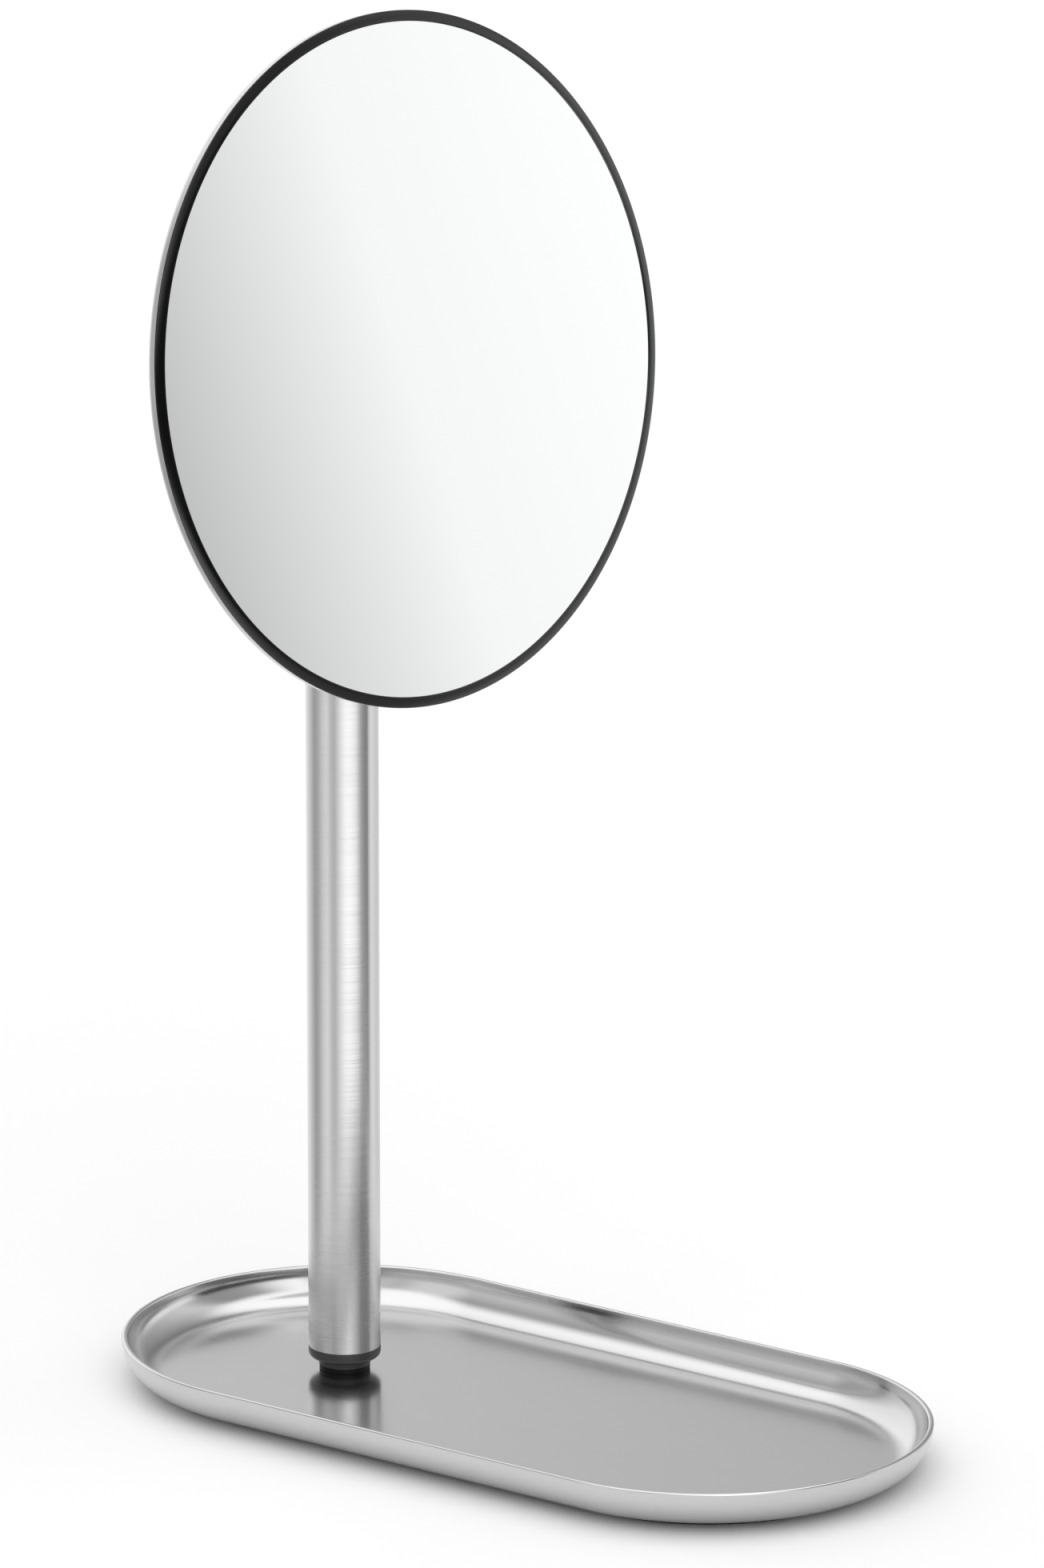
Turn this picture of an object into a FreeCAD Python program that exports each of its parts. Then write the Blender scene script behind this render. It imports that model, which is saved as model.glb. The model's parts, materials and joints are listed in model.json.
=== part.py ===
import FreeCAD, Part
import math
import os

# Free-standing cosmetic mirror: brushed steel tray, swivelling column and tilting round head.
# Millimetres, +Z up. The origin is the middle of the rest face under the tray.
# The tray's long side lies along Y, the column stands near its +Y end and the
# mirror looks towards -Y.

# Driving sizes

# Tray, pressed from one sheet
tray_length = 222.0
tray_width = 111.0
tray_depth = 8.8
tray_sheet = 1.4
tray_cove_radius = 8.4
tray_rim_land = 0.4
tray_rim_round = 0.3

# Anti-slip pad under the tray
pad_thickness = 1.6
pad_inset = 2.0

# Swivel between tray and column, M6
swivel_thread = 6.0
swivel_head_diameter = 14.0
swivel_head_height = 1.2
swivel_socket_flats = 4.0
swivel_socket_depth = 2.4
swivel_nut_flats = 10.0
swivel_nut_height = 6.0
swivel_bearing_length = 9.0
swivel_spring_thickness = 0.5
swivel_spring_rise = 0.3
swivel_washer_thickness = 1.2
floor_washer_diameter = 12.6
floor_washer_thickness = 1.3
neck_diameter = 12.9
neck_height = 1.7
neck_groove_depth = 0.2

# Column
tube_diameter = 18.0
tube_wall = 1.0
plug_flange_height = 3.0
plug_flange_round = 1.6
plug_insert_length = 24.0
post_insert_length = 20.0
post_flange_height = 2.5
post_flange_round = 1.0
post_tongue_thickness = 8.0
post_tongue_width = 12.0

# Tilt hinge at the top of the column, M5
pivot_height = 262.0
pivot_above_tube = 14.0
hinge_thread = 5.0
hinge_head_diameter = 9.5
hinge_head_height = 2.8
hinge_head_rim = 0.7
hinge_head_shoulder_radius = 3.8
hinge_head_shoulder_drop = 2.184
hinge_head_crown_radius = 2.375
hinge_socket_flats = 3.0
hinge_socket_depth = 1.8
hinge_nut_flats = 8.0
hinge_nut_height = 5.0
hinge_washer_diameter = 10.0
hinge_washer_thickness = 1.0
friction_washer_diameter = 11.6
friction_washer_thickness = 0.8

# Bracket that carries the head on the hinge
bracket_ear_thickness = 2.0
bracket_ear_radius = 6.0
bracket_ear_root = 18.0
bracket_plate_width = 40.0
bracket_plate_height = 26.0
bracket_plate_thickness = 2.0
bracket_corner_radius = 4.0
screw_thread = 3.0
screw_length = 5.8
screw_head_diameter = 5.6
screw_head_height = 1.8
screw_head_rim = 0.9
screw_crown_radius = 1.68
screw_crown_rise = 0.27
screw_recess_width = 0.8
screw_recess_depth = 1.0
screw_recess_arm = 3.08
screw_edge_distance = 5.5
screw_boss_diameter = 7.0
screw_boss_end = 0.7

# Mirror head
mirror_diameter = 169.0
glass_front_from_pivot = 24.7
glass_thickness = 2.0
bezel_lip_width = 2.7
bezel_lip_stand = 0.35
bezel_end_slope = 30.0
bezel_edge_height = 0.3
bezel_skirt_thickness = 0.5
bezel_skirt_depth = 1.0
shell_sheet = 0.8
shell_side_height = 1.1
shell_corner_radius = 2.0
shell_dome_radius = 300.0
shell_flat_radius = 30.0
shell_step_from_bezel = 0.1
silver_thickness = 0.2
adhesive_thickness = 1.0
adhesive_band_width = 14.0
adhesive_margin = 1.0
backing_plate_thickness = 2.0
backing_plate_margin = 19.0
backing_plate_opening = 24.0

# Shares common to the bolts and nuts
nut_chamfer_share = 0.8      # of the difference between corner and flat radius
nut_ring_share = 0.25        # of the nut's height
nut_ring_ratio = 1.35        # ring's outside radius over the thread's
bolt_end_share = 0.25        # of the thread standing out of its nut
bolt_tip_share = 1 / 12      # of the thread, chamfer at the bolt's end

# Pose in which the mirror is set down
rest_swivel = -8.0
rest_tilt = 9.0

# Clearances
turning_gap = 0.05        # between flat faces that turn on each other
running_clearance = 0.05  # radial, a shaft in the bore it turns in
thread_clearance = 0.05   # radial, threads are drawn plain
slip_clearance = 0.05     # radial, plugs in the tube, skirt beside the glass
hole_clearance = 0.2      # radial, a bolt in a plain hole
recess_clearance = 3.0    # radial, round the bolt head in the pad
washer_edge_gap = 0.5     # radial, washers in the plug's counterbore
nut_corner_gap = 0.2      # radial, the nut's corners past the washer's edge

# Derived positions

column_y = (tray_length - tray_width) / 2
tray_bottom = pad_thickness
floor_top = tray_bottom + tray_sheet
rim_top = floor_top + tray_depth
cove_radius = min(tray_cove_radius, tray_depth - tray_rim_land)
outer_corner_radius = cove_radius + tray_sheet

swivel_radius = swivel_thread / 2
neck_bottom = floor_top + floor_washer_thickness
neck_top = neck_bottom + neck_height
plug_bottom = neck_top + turning_gap
tube_bottom = plug_bottom + plug_flange_height
spring_seat = plug_bottom + swivel_bearing_length
spring_bottom = spring_seat + turning_gap
spring_top = spring_bottom + swivel_spring_thickness + swivel_spring_rise
swivel_washer_top = spring_top + swivel_washer_thickness
swivel_nut_top = swivel_washer_top + swivel_nut_height
swivel_bolt_top = swivel_nut_top + swivel_thread * bolt_end_share
counterbore_radius = swivel_nut_flats / math.sqrt(3) + washer_edge_gap + nut_corner_gap

tube_radius = tube_diameter / 2
tube_bore_radius = tube_radius - tube_wall
insert_radius = tube_bore_radius - slip_clearance
tube_top = pivot_height - pivot_above_tube

hinge_radius = hinge_thread / 2
ear_inside = post_tongue_thickness / 2 + friction_washer_thickness + 2 * turning_gap
ear_outside = ear_inside + bracket_ear_thickness
hinge_nut_seat = ear_outside + hinge_washer_thickness
hinge_bolt_end = hinge_nut_seat + hinge_nut_height + hinge_thread * bolt_end_share

# Levels in the head, along the mirror's outward normal from the hinge axis
glass_front = glass_front_from_pivot
glass_back = glass_front - glass_thickness
silver_back = glass_back - silver_thickness
adhesive_back = silver_back - adhesive_thickness
backing_back = adhesive_back - backing_plate_thickness
bezel_radius = mirror_diameter / 2
bezel_top = glass_front + bezel_lip_stand
bezel_inner_radius = bezel_radius - bezel_lip_width
bezel_arc_radius = bezel_lip_width / math.sin(math.radians(bezel_end_slope))
bezel_edge_top = bezel_top - bezel_arc_radius * (1 - math.cos(math.radians(bezel_end_slope)))
shell_rim = bezel_edge_top - bezel_edge_height
shell_radius = bezel_radius - shell_step_from_bezel
shell_bore_radius = shell_radius - shell_sheet
skirt_outer_radius = shell_bore_radius - slip_clearance
skirt_inner_radius = skirt_outer_radius - bezel_skirt_thickness
glass_radius = skirt_inner_radius - slip_clearance
shell_side_bottom = shell_rim - shell_side_height
backing_radius = glass_radius - backing_plate_margin


def vec(x, y, z):
    return FreeCAD.Vector(x, y, z)


# Basic shapes

def cylinder(radius, bottom, top):
    return Part.makeCylinder(radius, top - bottom, vec(0, 0, bottom))


def ring(outer_radius, inner_radius, bottom, top):
    """A flat ring; its bore runs past both faces while it is cut."""
    return cylinder(outer_radius, bottom, top).cut(cylinder(inner_radius, bottom - 1, top + 1))


def stadium_prism(length, width, bottom, top):
    """Two straight sides along Y joined by half circles."""
    radius = width / 2
    centre = (length - width) / 2
    right_low = vec(radius, -centre, bottom)
    right_high = vec(radius, centre, bottom)
    left_high = vec(-radius, centre, bottom)
    left_low = vec(-radius, -centre, bottom)
    edges = [
        Part.makeLine(right_low, right_high),
        Part.Arc(right_high, vec(0, centre + radius, bottom), left_high).toShape(),
        Part.makeLine(left_high, left_low),
        Part.Arc(left_low, vec(0, -centre - radius, bottom), right_low).toShape(),
    ]
    return Part.Face(Part.Wire(edges)).extrude(vec(0, 0, top - bottom))


def revolve(edges):
    """Turn a closed outline in the XZ plane once round Z."""
    face = Part.Face(Part.Wire(edges))
    return face.revolve(vec(0, 0, 0), vec(0, 0, 1), 360)


def outline(points):
    """Straight edges through (radius, height) points, closed."""
    corners = [vec(radius, 0, height) for radius, height in points]
    return Part.makePolygon(corners + corners[:1]).Edges


def hexagon_prism(flats, bottom, top):
    corner = flats / math.sqrt(3)
    turns = [math.radians(60 * step) for step in range(7)]
    corners = [vec(corner * math.cos(a), corner * math.sin(a), bottom) for a in turns]
    return Part.Face(Part.makePolygon(corners)).extrude(vec(0, 0, top - bottom))


def edges_at_height(shape, height):
    """Edges that lie wholly at one height."""
    found = []
    for edge in shape.Edges:
        box = edge.BoundBox
        if max(abs(box.ZMin - height), abs(box.ZMax - height)) < 1e-4:
            found.append(edge)
    return found


def moved(shape, x, y, z):
    copy = shape.copy()
    copy.translate(vec(x, y, z))
    return copy


def lock_nut(flats, height, thread_radius, bottom):
    """Hexagon nut with a nylon locking ring let into its top; returns nut and ring."""
    corner = flats / math.sqrt(3)
    chamfer = (corner - flats / 2) * nut_chamfer_share
    top = bottom + height
    ring_depth = height * nut_ring_share
    ring_radius = thread_radius * nut_ring_ratio
    rounded = revolve(outline([
        (0, bottom),
        (corner - chamfer, bottom),
        (corner, bottom + chamfer),
        (corner, top - chamfer),
        (corner - chamfer, top),
        (0, top),
    ]))
    body = hexagon_prism(flats, bottom, top).common(rounded)
    body = body.cut(cylinder(thread_radius + thread_clearance, bottom - 1, top + 1))
    body = body.cut(cylinder(ring_radius, top - ring_depth, top + 1))
    insert = ring(ring_radius, thread_radius + thread_clearance, top - ring_depth, top)
    return body, insert


# Base pieces

def make_tray():
    outer = stadium_prism(tray_length, tray_width, tray_bottom, rim_top)
    outer = outer.makeFillet(outer_corner_radius, edges_at_height(outer, tray_bottom))
    inner_length = tray_length - 2 * tray_sheet
    inner_width = tray_width - 2 * tray_sheet
    inner = stadium_prism(inner_length, inner_width, floor_top, rim_top + outer_corner_radius)
    inner = inner.makeFillet(cove_radius, edges_at_height(inner, floor_top))
    tray = outer.cut(inner)
    tray = tray.makeFillet(tray_rim_round, edges_at_height(tray, rim_top))
    hole = cylinder(swivel_radius + hole_clearance, 0, rim_top)
    return tray.cut(moved(hole, 0, column_y, 0))


def make_anti_slip_pad():
    inset = outer_corner_radius + pad_inset
    pad = stadium_prism(tray_length - 2 * inset, tray_width - 2 * inset, 0, pad_thickness)
    recess = cylinder(swivel_head_diameter / 2 + recess_clearance, -1, pad_thickness + 1)
    return pad.cut(moved(recess, 0, column_y, 0))


def make_swivel_bolt():
    """Wafer-head bolt, standing head down under the tray floor."""
    head_bottom = tray_bottom - swivel_head_height
    head_radius = swivel_head_diameter / 2
    edge = swivel_head_height / 2
    tip = swivel_thread * bolt_tip_share
    bolt = revolve(outline([
        (0, head_bottom),
        (head_radius - edge, head_bottom),
        (head_radius, head_bottom + edge),
        (head_radius, tray_bottom),
        (swivel_radius, tray_bottom),
        (swivel_radius, swivel_bolt_top - tip),
        (swivel_radius - tip, swivel_bolt_top),
        (0, swivel_bolt_top),
    ]))
    return bolt.cut(hexagon_prism(swivel_socket_flats, head_bottom - 1, head_bottom + swivel_socket_depth))


def make_floor_washer():
    return ring(floor_washer_diameter / 2, swivel_radius + hole_clearance, floor_top, neck_bottom)


def make_neck_spacer():
    """Short waisted bush that the column turns on."""
    radius = neck_diameter / 2
    waist = radius - neck_groove_depth
    bore = swivel_radius + hole_clearance
    middle = (neck_bottom + neck_top) / 2
    waisted_side = Part.Arc(vec(radius, 0, neck_bottom), vec(waist, 0, middle), vec(radius, 0, neck_top))
    return revolve([
        Part.makeLine(vec(bore, 0, neck_bottom), vec(radius, 0, neck_bottom)),
        waisted_side.toShape(),
        Part.makeLine(vec(radius, 0, neck_top), vec(bore, 0, neck_top)),
        Part.makeLine(vec(bore, 0, neck_top), vec(bore, 0, neck_bottom)),
    ])


def make_swivel_spring():
    """Conical disc spring that keeps the swivel's drag."""
    outer = counterbore_radius - washer_edge_gap
    inner = swivel_radius + hole_clearance
    return revolve(outline([
        (outer, spring_bottom),
        (outer, spring_bottom + swivel_spring_thickness),
        (inner, spring_top),
        (inner, spring_top - swivel_spring_thickness),
    ]))


def make_swivel_washer():
    outer = counterbore_radius - washer_edge_gap
    return ring(outer, swivel_radius + hole_clearance, spring_top, swivel_washer_top)


# Column pieces

def make_lower_plug():
    """Flanged plug pressed into the tube's foot; it turns on the swivel bolt."""
    top = tube_bottom + plug_insert_length
    flange_side = plug_bottom + plug_flange_round
    flat_end = tube_radius - plug_flange_round
    bevel = tube_wall / 2
    bend = plug_flange_round * (1 - math.sqrt(0.5))
    rounded_edge = Part.Arc(
        vec(flat_end, 0, plug_bottom),
        vec(tube_radius - bend, 0, plug_bottom + bend),
        vec(tube_radius, 0, flange_side),
    )
    plug = revolve([
        Part.makeLine(vec(0, 0, plug_bottom), vec(flat_end, 0, plug_bottom)),
        rounded_edge.toShape(),
        Part.makeLine(vec(tube_radius, 0, flange_side), vec(tube_radius, 0, tube_bottom)),
        Part.makeLine(vec(tube_radius, 0, tube_bottom), vec(insert_radius, 0, tube_bottom)),
        Part.makeLine(vec(insert_radius, 0, tube_bottom), vec(insert_radius, 0, top - bevel)),
        Part.makeLine(vec(insert_radius, 0, top - bevel), vec(insert_radius - bevel, 0, top)),
        Part.makeLine(vec(insert_radius - bevel, 0, top), vec(0, 0, top)),
        Part.makeLine(vec(0, 0, top), vec(0, 0, plug_bottom)),
    ])
    plug = plug.cut(cylinder(swivel_radius + running_clearance, plug_bottom - 1, top))
    return plug.cut(cylinder(counterbore_radius, spring_seat, top + 1))


def make_column_tube():
    return ring(tube_radius, tube_bore_radius, tube_bottom, tube_top)


def make_hinge_post():
    """Plug in the tube's top with an upright tongue for the hinge bolt."""
    flange_top = tube_top + post_flange_height
    flange = cylinder(tube_radius, tube_top, flange_top)
    flange = flange.makeFillet(post_flange_round, edges_at_height(flange, flange_top))
    insert = cylinder(insert_radius, tube_top - post_insert_length, tube_top)
    half_width = post_tongue_width / 2
    half_thickness = post_tongue_thickness / 2
    stem_size = (post_tongue_thickness, post_tongue_width, pivot_height - tube_top)
    stem = Part.makeBox(*stem_size, vec(-half_thickness, -half_width, tube_top))
    eye_start = vec(-half_thickness, 0, pivot_height)
    eye = Part.makeCylinder(half_width, post_tongue_thickness, eye_start, vec(1, 0, 0))
    post = flange.fuse([insert, stem, eye]).removeSplitter()
    bore_start = vec(-tube_radius, 0, pivot_height)
    bore = Part.makeCylinder(hinge_radius + running_clearance, tube_diameter, bore_start, vec(1, 0, 0))
    return post.cut(bore)


def make_friction_washers():
    """One washer on each side of the tongue."""
    radius = friction_washer_diameter / 2
    start = post_tongue_thickness / 2 + turning_gap
    washer = ring(radius, hinge_radius + running_clearance, start, start + friction_washer_thickness)
    return Part.makeCompound([across_hinge(washer, 1), across_hinge(washer, -1)])


# Head pieces
# In the head's own frame the hinge axis is X, up is Y and the glass looks
# along +Z, with the origin on the hinge axis in the middle of the tongue.

def across_hinge(shape, side):
    """Lay a piece made along +Z onto the hinge axis, towards +X or -X."""
    copy = shape.copy()
    copy.rotate(vec(0, 0, 0), vec(0, 1, 0), 90 * side)
    return copy


def screw_places():
    x = bracket_plate_width / 2 - screw_edge_distance
    y = bracket_plate_height / 2 - screw_edge_distance
    return [(x * across, y * up) for across in (-1, 1) for up in (-1, 1)]


def shell_corner_start():
    """Radius at which the dome meets the corner's arc, and the slope there."""
    centre_radius = shell_radius - shell_corner_radius
    ratio = (centre_radius - shell_flat_radius) / (shell_dome_radius - shell_corner_radius)
    slope = math.asin(ratio)
    return centre_radius + shell_corner_radius * math.sin(slope), slope


def shell_profile(offset):
    """Outside line of the shell moved inwards by offset, from the axis to the rim."""
    corner_radius = shell_corner_radius - offset
    dome_radius = shell_dome_radius - offset
    centre = shell_radius - shell_corner_radius
    start_radius, slope = shell_corner_start()
    flat_level = shell_back + offset
    dome_centre = shell_back + shell_dome_radius

    def on_dome(angle):
        level = dome_centre - dome_radius * math.cos(angle)
        return vec(shell_flat_radius + dome_radius * math.sin(angle), 0, level)

    def on_corner(angle):
        level = shell_side_bottom - corner_radius * math.cos(angle)
        return vec(centre + corner_radius * math.sin(angle), 0, level)

    middle = (slope + math.pi / 2) / 2
    side_low = vec(centre + corner_radius, 0, shell_side_bottom)
    side_high = vec(centre + corner_radius, 0, shell_rim)
    return [
        Part.makeLine(vec(0, 0, flat_level), vec(shell_flat_radius, 0, flat_level)),
        Part.Arc(vec(shell_flat_radius, 0, flat_level), on_dome(slope / 2), on_dome(slope)).toShape(),
        Part.Arc(on_dome(slope), on_corner(middle), side_low).toShape(),
        Part.makeLine(side_low, side_high),
    ]


_, corner_slope = shell_corner_start()
shell_back = (
    shell_side_bottom
    - shell_corner_radius * math.cos(corner_slope)
    - shell_dome_radius * (1 - math.cos(corner_slope))
)
bracket_front = shell_back
bracket_back = bracket_front - bracket_plate_thickness


def make_rear_shell():
    outside = shell_profile(0)
    inside = shell_profile(shell_sheet)
    rim = Part.makeLine(outside[-1].lastVertex().Point, inside[-1].lastVertex().Point)
    axis = Part.makeLine(outside[0].firstVertex().Point, inside[0].firstVertex().Point)
    shell = revolve(outside + [rim] + list(reversed(inside)) + [axis])
    hole_radius = screw_thread / 2 + hole_clearance
    for x, y in screw_places():
        shell = shell.cut(moved(cylinder(hole_radius, shell_back - 1, shell_back + 2), x, y, 0))
    return shell


def make_hinge_bracket():
    """Base plate on the shell with two ears that reach back to the hinge axis."""
    half_width = bracket_plate_width / 2
    half_height = bracket_plate_height / 2
    plate_size = (bracket_plate_width, bracket_plate_height, bracket_plate_thickness)
    plate = Part.makeBox(*plate_size, vec(-half_width, -half_height, bracket_back))
    corners = [edge for edge in plate.Edges if edge.BoundBox.ZLength > bracket_plate_thickness / 2]
    plate = plate.makeFillet(bracket_corner_radius, corners)
    half_root = bracket_ear_root / 2
    root_low = vec(0, -half_root, bracket_front)
    root_high = vec(0, half_root, bracket_front)
    eye_low = vec(0, -bracket_ear_radius, 0)
    eye_back = vec(0, 0, -bracket_ear_radius)
    eye_high = vec(0, bracket_ear_radius, 0)
    ear = Part.Face(Part.Wire([
        Part.makeLine(root_high, root_low),
        Part.makeLine(root_low, eye_low),
        Part.Arc(eye_low, eye_back, eye_high).toShape(),
        Part.makeLine(eye_high, root_high),
    ])).extrude(vec(bracket_ear_thickness, 0, 0))
    bracket = plate.fuse([moved(ear, ear_inside, 0, 0), moved(ear, -ear_outside, 0, 0)]).removeSplitter()
    bore = across_hinge(cylinder(hinge_radius + thread_clearance, -half_width, half_width), 1)
    bracket = bracket.cut(bore)
    hole_radius = screw_thread / 2 + hole_clearance
    for x, y in screw_places():
        bracket = bracket.cut(moved(cylinder(hole_radius, bracket_back - 1, bracket_front + 1), x, y, 0))
    return bracket


def make_bracket_screws():
    """Pan-head screws from behind, through plate and shell into the bosses."""
    radius = screw_thread / 2
    head_radius = screw_head_diameter / 2
    head_back = bracket_back - screw_head_height
    rim_back = bracket_back - screw_head_rim
    crown = Part.Arc(
        vec(0, 0, head_back),
        vec(screw_crown_radius, 0, head_back + screw_crown_rise),
        vec(head_radius, 0, rim_back),
    )
    tip = bracket_back + screw_length
    screw = revolve([
        crown.toShape(),
        Part.makeLine(vec(head_radius, 0, rim_back), vec(head_radius, 0, bracket_back)),
        Part.makeLine(vec(head_radius, 0, bracket_back), vec(radius, 0, bracket_back)),
        Part.makeLine(vec(radius, 0, bracket_back), vec(radius, 0, tip)),
        Part.makeLine(vec(radius, 0, tip), vec(0, 0, tip)),
        Part.makeLine(vec(0, 0, tip), vec(0, 0, head_back)),
    ])
    arm = screw_recess_arm
    recess_size = (arm, screw_recess_width, screw_recess_depth + 1)
    slot = Part.makeBox(*recess_size, vec(-arm / 2, -screw_recess_width / 2, head_back - 1))
    cross = slot.copy()
    cross.rotate(vec(0, 0, 0), vec(0, 0, 1), 90)
    screw = screw.cut([slot, cross])
    return Part.makeCompound([moved(screw, x, y, 0) for x, y in screw_places()])


def make_backing_plate():
    """Moulded disc behind the glass, with a central opening and four screw bosses."""
    plate = ring(backing_radius, backing_plate_opening / 2, backing_back, adhesive_back)
    shell_inside = shell_back + shell_sheet
    for x, y in screw_places():
        boss = cylinder(screw_boss_diameter / 2, shell_inside, adhesive_back)
        plate = plate.fuse(moved(boss, x, y, 0))
    plate = plate.removeSplitter()
    for x, y in screw_places():
        pilot_end = adhesive_back - screw_boss_end
        pilot = cylinder(screw_thread / 2 + thread_clearance, shell_inside - 1, pilot_end)
        plate = plate.cut(moved(pilot, x, y, 0))
    return plate


def make_adhesive_pads():
    """Outer and inner bands of foam tape between the disc and the silvered glass."""
    outer = backing_radius - adhesive_margin
    inner = backing_plate_opening / 2 + adhesive_margin
    bands = [
        ring(outer, outer - adhesive_band_width, adhesive_back, silver_back),
        ring(inner + adhesive_band_width, inner, adhesive_back, silver_back),
    ]
    return Part.makeCompound(bands)


def make_silver_backing():
    return cylinder(glass_radius, silver_back, glass_back)


def make_mirror_glass():
    return cylinder(glass_radius, glass_back, glass_front)


def make_bezel_ring():
    """Domed front lip with a thin skirt between the glass and the shell."""
    slope = math.radians(bezel_end_slope)
    arc_centre = bezel_top - bezel_arc_radius
    skirt_bottom = shell_rim - bezel_skirt_depth
    half_slope = slope / 2
    crown = Part.Arc(
        vec(bezel_inner_radius, 0, bezel_top),
        vec(
            bezel_inner_radius + bezel_arc_radius * math.sin(half_slope),
            0,
            arc_centre + bezel_arc_radius * math.cos(half_slope),
        ),
        vec(bezel_radius, 0, bezel_edge_top),
    )
    corners = [
        vec(bezel_radius, 0, bezel_edge_top),
        vec(bezel_radius, 0, shell_rim),
        vec(skirt_outer_radius, 0, shell_rim),
        vec(skirt_outer_radius, 0, skirt_bottom),
        vec(skirt_inner_radius, 0, skirt_bottom),
        vec(skirt_inner_radius, 0, glass_front),
        vec(bezel_inner_radius, 0, glass_front),
        vec(bezel_inner_radius, 0, bezel_top),
    ]
    return revolve([crown.toShape()] + Part.makePolygon(corners).Edges)


def make_hinge_bolt():
    """Button-head bolt lying on the hinge axis, head towards -X."""
    head_radius = hinge_head_diameter / 2
    head_seat = ear_outside + hinge_washer_thickness
    head_end = head_seat + hinge_head_height
    tip = hinge_thread * bolt_tip_share
    rim_end = head_seat + hinge_head_rim
    tip_start = hinge_bolt_end - tip
    crown = Part.Arc(
        vec(head_radius, 0, -rim_end),
        vec(hinge_head_shoulder_radius, 0, -head_seat - hinge_head_shoulder_drop),
        vec(hinge_head_crown_radius, 0, -head_end),
    )
    bolt = revolve([
        Part.makeLine(vec(0, 0, hinge_bolt_end), vec(hinge_radius - tip, 0, hinge_bolt_end)),
        Part.makeLine(vec(hinge_radius - tip, 0, hinge_bolt_end), vec(hinge_radius, 0, tip_start)),
        Part.makeLine(vec(hinge_radius, 0, tip_start), vec(hinge_radius, 0, -head_seat)),
        Part.makeLine(vec(hinge_radius, 0, -head_seat), vec(head_radius, 0, -head_seat)),
        Part.makeLine(vec(head_radius, 0, -head_seat), vec(head_radius, 0, -rim_end)),
        crown.toShape(),
        Part.makeLine(vec(hinge_head_crown_radius, 0, -head_end), vec(0, 0, -head_end)),
        Part.makeLine(vec(0, 0, -head_end), vec(0, 0, hinge_bolt_end)),
    ])
    bolt = bolt.cut(hexagon_prism(hinge_socket_flats, -head_end - 1, -head_end + hinge_socket_depth))
    return across_hinge(bolt, 1)


def make_hinge_washers():
    """Steel washers under the bolt's head and under the nut."""
    washer = ring(hinge_washer_diameter / 2, hinge_radius + thread_clearance, ear_outside, hinge_nut_seat)
    return Part.makeCompound([across_hinge(washer, 1), across_hinge(washer, -1)])


# Assembling

def on_column(shape):
    """Turn a piece to the rest swivel and stand it on the column's axis."""
    copy = shape.copy()
    copy.rotate(vec(0, 0, 0), vec(0, 0, 1), rest_swivel)
    copy.translate(vec(0, column_y, 0))
    return copy


def at_hinge(shape):
    """Bring a piece from the hinge's frame to the column's top, without tilt."""
    return on_column(moved(shape, 0, 0, pivot_height))


def in_head(shape):
    """Stand the head's frame up, tilt it back and carry it to the hinge."""
    copy = shape.copy()
    copy.rotate(vec(0, 0, 0), vec(1, 0, 0), 90 - rest_tilt)
    return at_hinge(copy)


def build_nodes():
    swivel_nut, swivel_nut_insert = lock_nut(
        swivel_nut_flats, swivel_nut_height, swivel_radius, swivel_washer_top
    )
    hinge_nut, hinge_nut_insert = lock_nut(hinge_nut_flats, hinge_nut_height, hinge_radius, hinge_nut_seat)
    base_on_column_axis = {
        "floor_washer": make_floor_washer(),
        "neck_spacer": make_neck_spacer(),
        "swivel_bolt": make_swivel_bolt(),
        "swivel_spring": make_swivel_spring(),
        "swivel_washer": make_swivel_washer(),
        "swivel_nut": swivel_nut,
        "swivel_nut_insert": swivel_nut_insert,
    }
    column = {
        "lower_plug": make_lower_plug(),
        "column_tube": make_column_tube(),
        "hinge_post": make_hinge_post(),
    }
    head = {
        "hinge_bracket": make_hinge_bracket(),
        "hinge_bolt": make_hinge_bolt(),
        "hinge_washers": make_hinge_washers(),
        "hinge_nut": across_hinge(hinge_nut, 1),
        "hinge_nut_insert": across_hinge(hinge_nut_insert, 1),
        "bracket_screws": make_bracket_screws(),
        "rear_shell": make_rear_shell(),
        "backing_plate": make_backing_plate(),
        "adhesive_pads": make_adhesive_pads(),
        "silver_backing": make_silver_backing(),
        "mirror_glass": make_mirror_glass(),
        "bezel_ring": make_bezel_ring(),
    }
    nodes = {"tray": make_tray(), "anti_slip_pad": make_anti_slip_pad()}
    for name, shape in base_on_column_axis.items():
        nodes[name] = moved(shape, 0, column_y, 0)
    for name, shape in column.items():
        nodes[name] = on_column(shape)
    nodes["friction_washers"] = at_hinge(make_friction_washers())
    for name, shape in head.items():
        nodes[name] = in_head(shape)
    return nodes


def main():
    os.makedirs("parts", exist_ok=True)
    for name, shape in build_nodes().items():
        if not shape.isValid():
            raise ValueError(name + " is not a valid shape")
        shape.exportStep("parts/" + name + ".step")
        box = shape.BoundBox
        size = (round(box.XLength, 2), round(box.YLength, 2), round(box.ZLength, 2))
        print(name, len(shape.Solids), "solids", round(shape.Volume, 1), "mm3", size)


main()
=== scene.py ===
import bpy
import bmesh
import json
import math
from mathutils import Matrix, Vector


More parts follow.
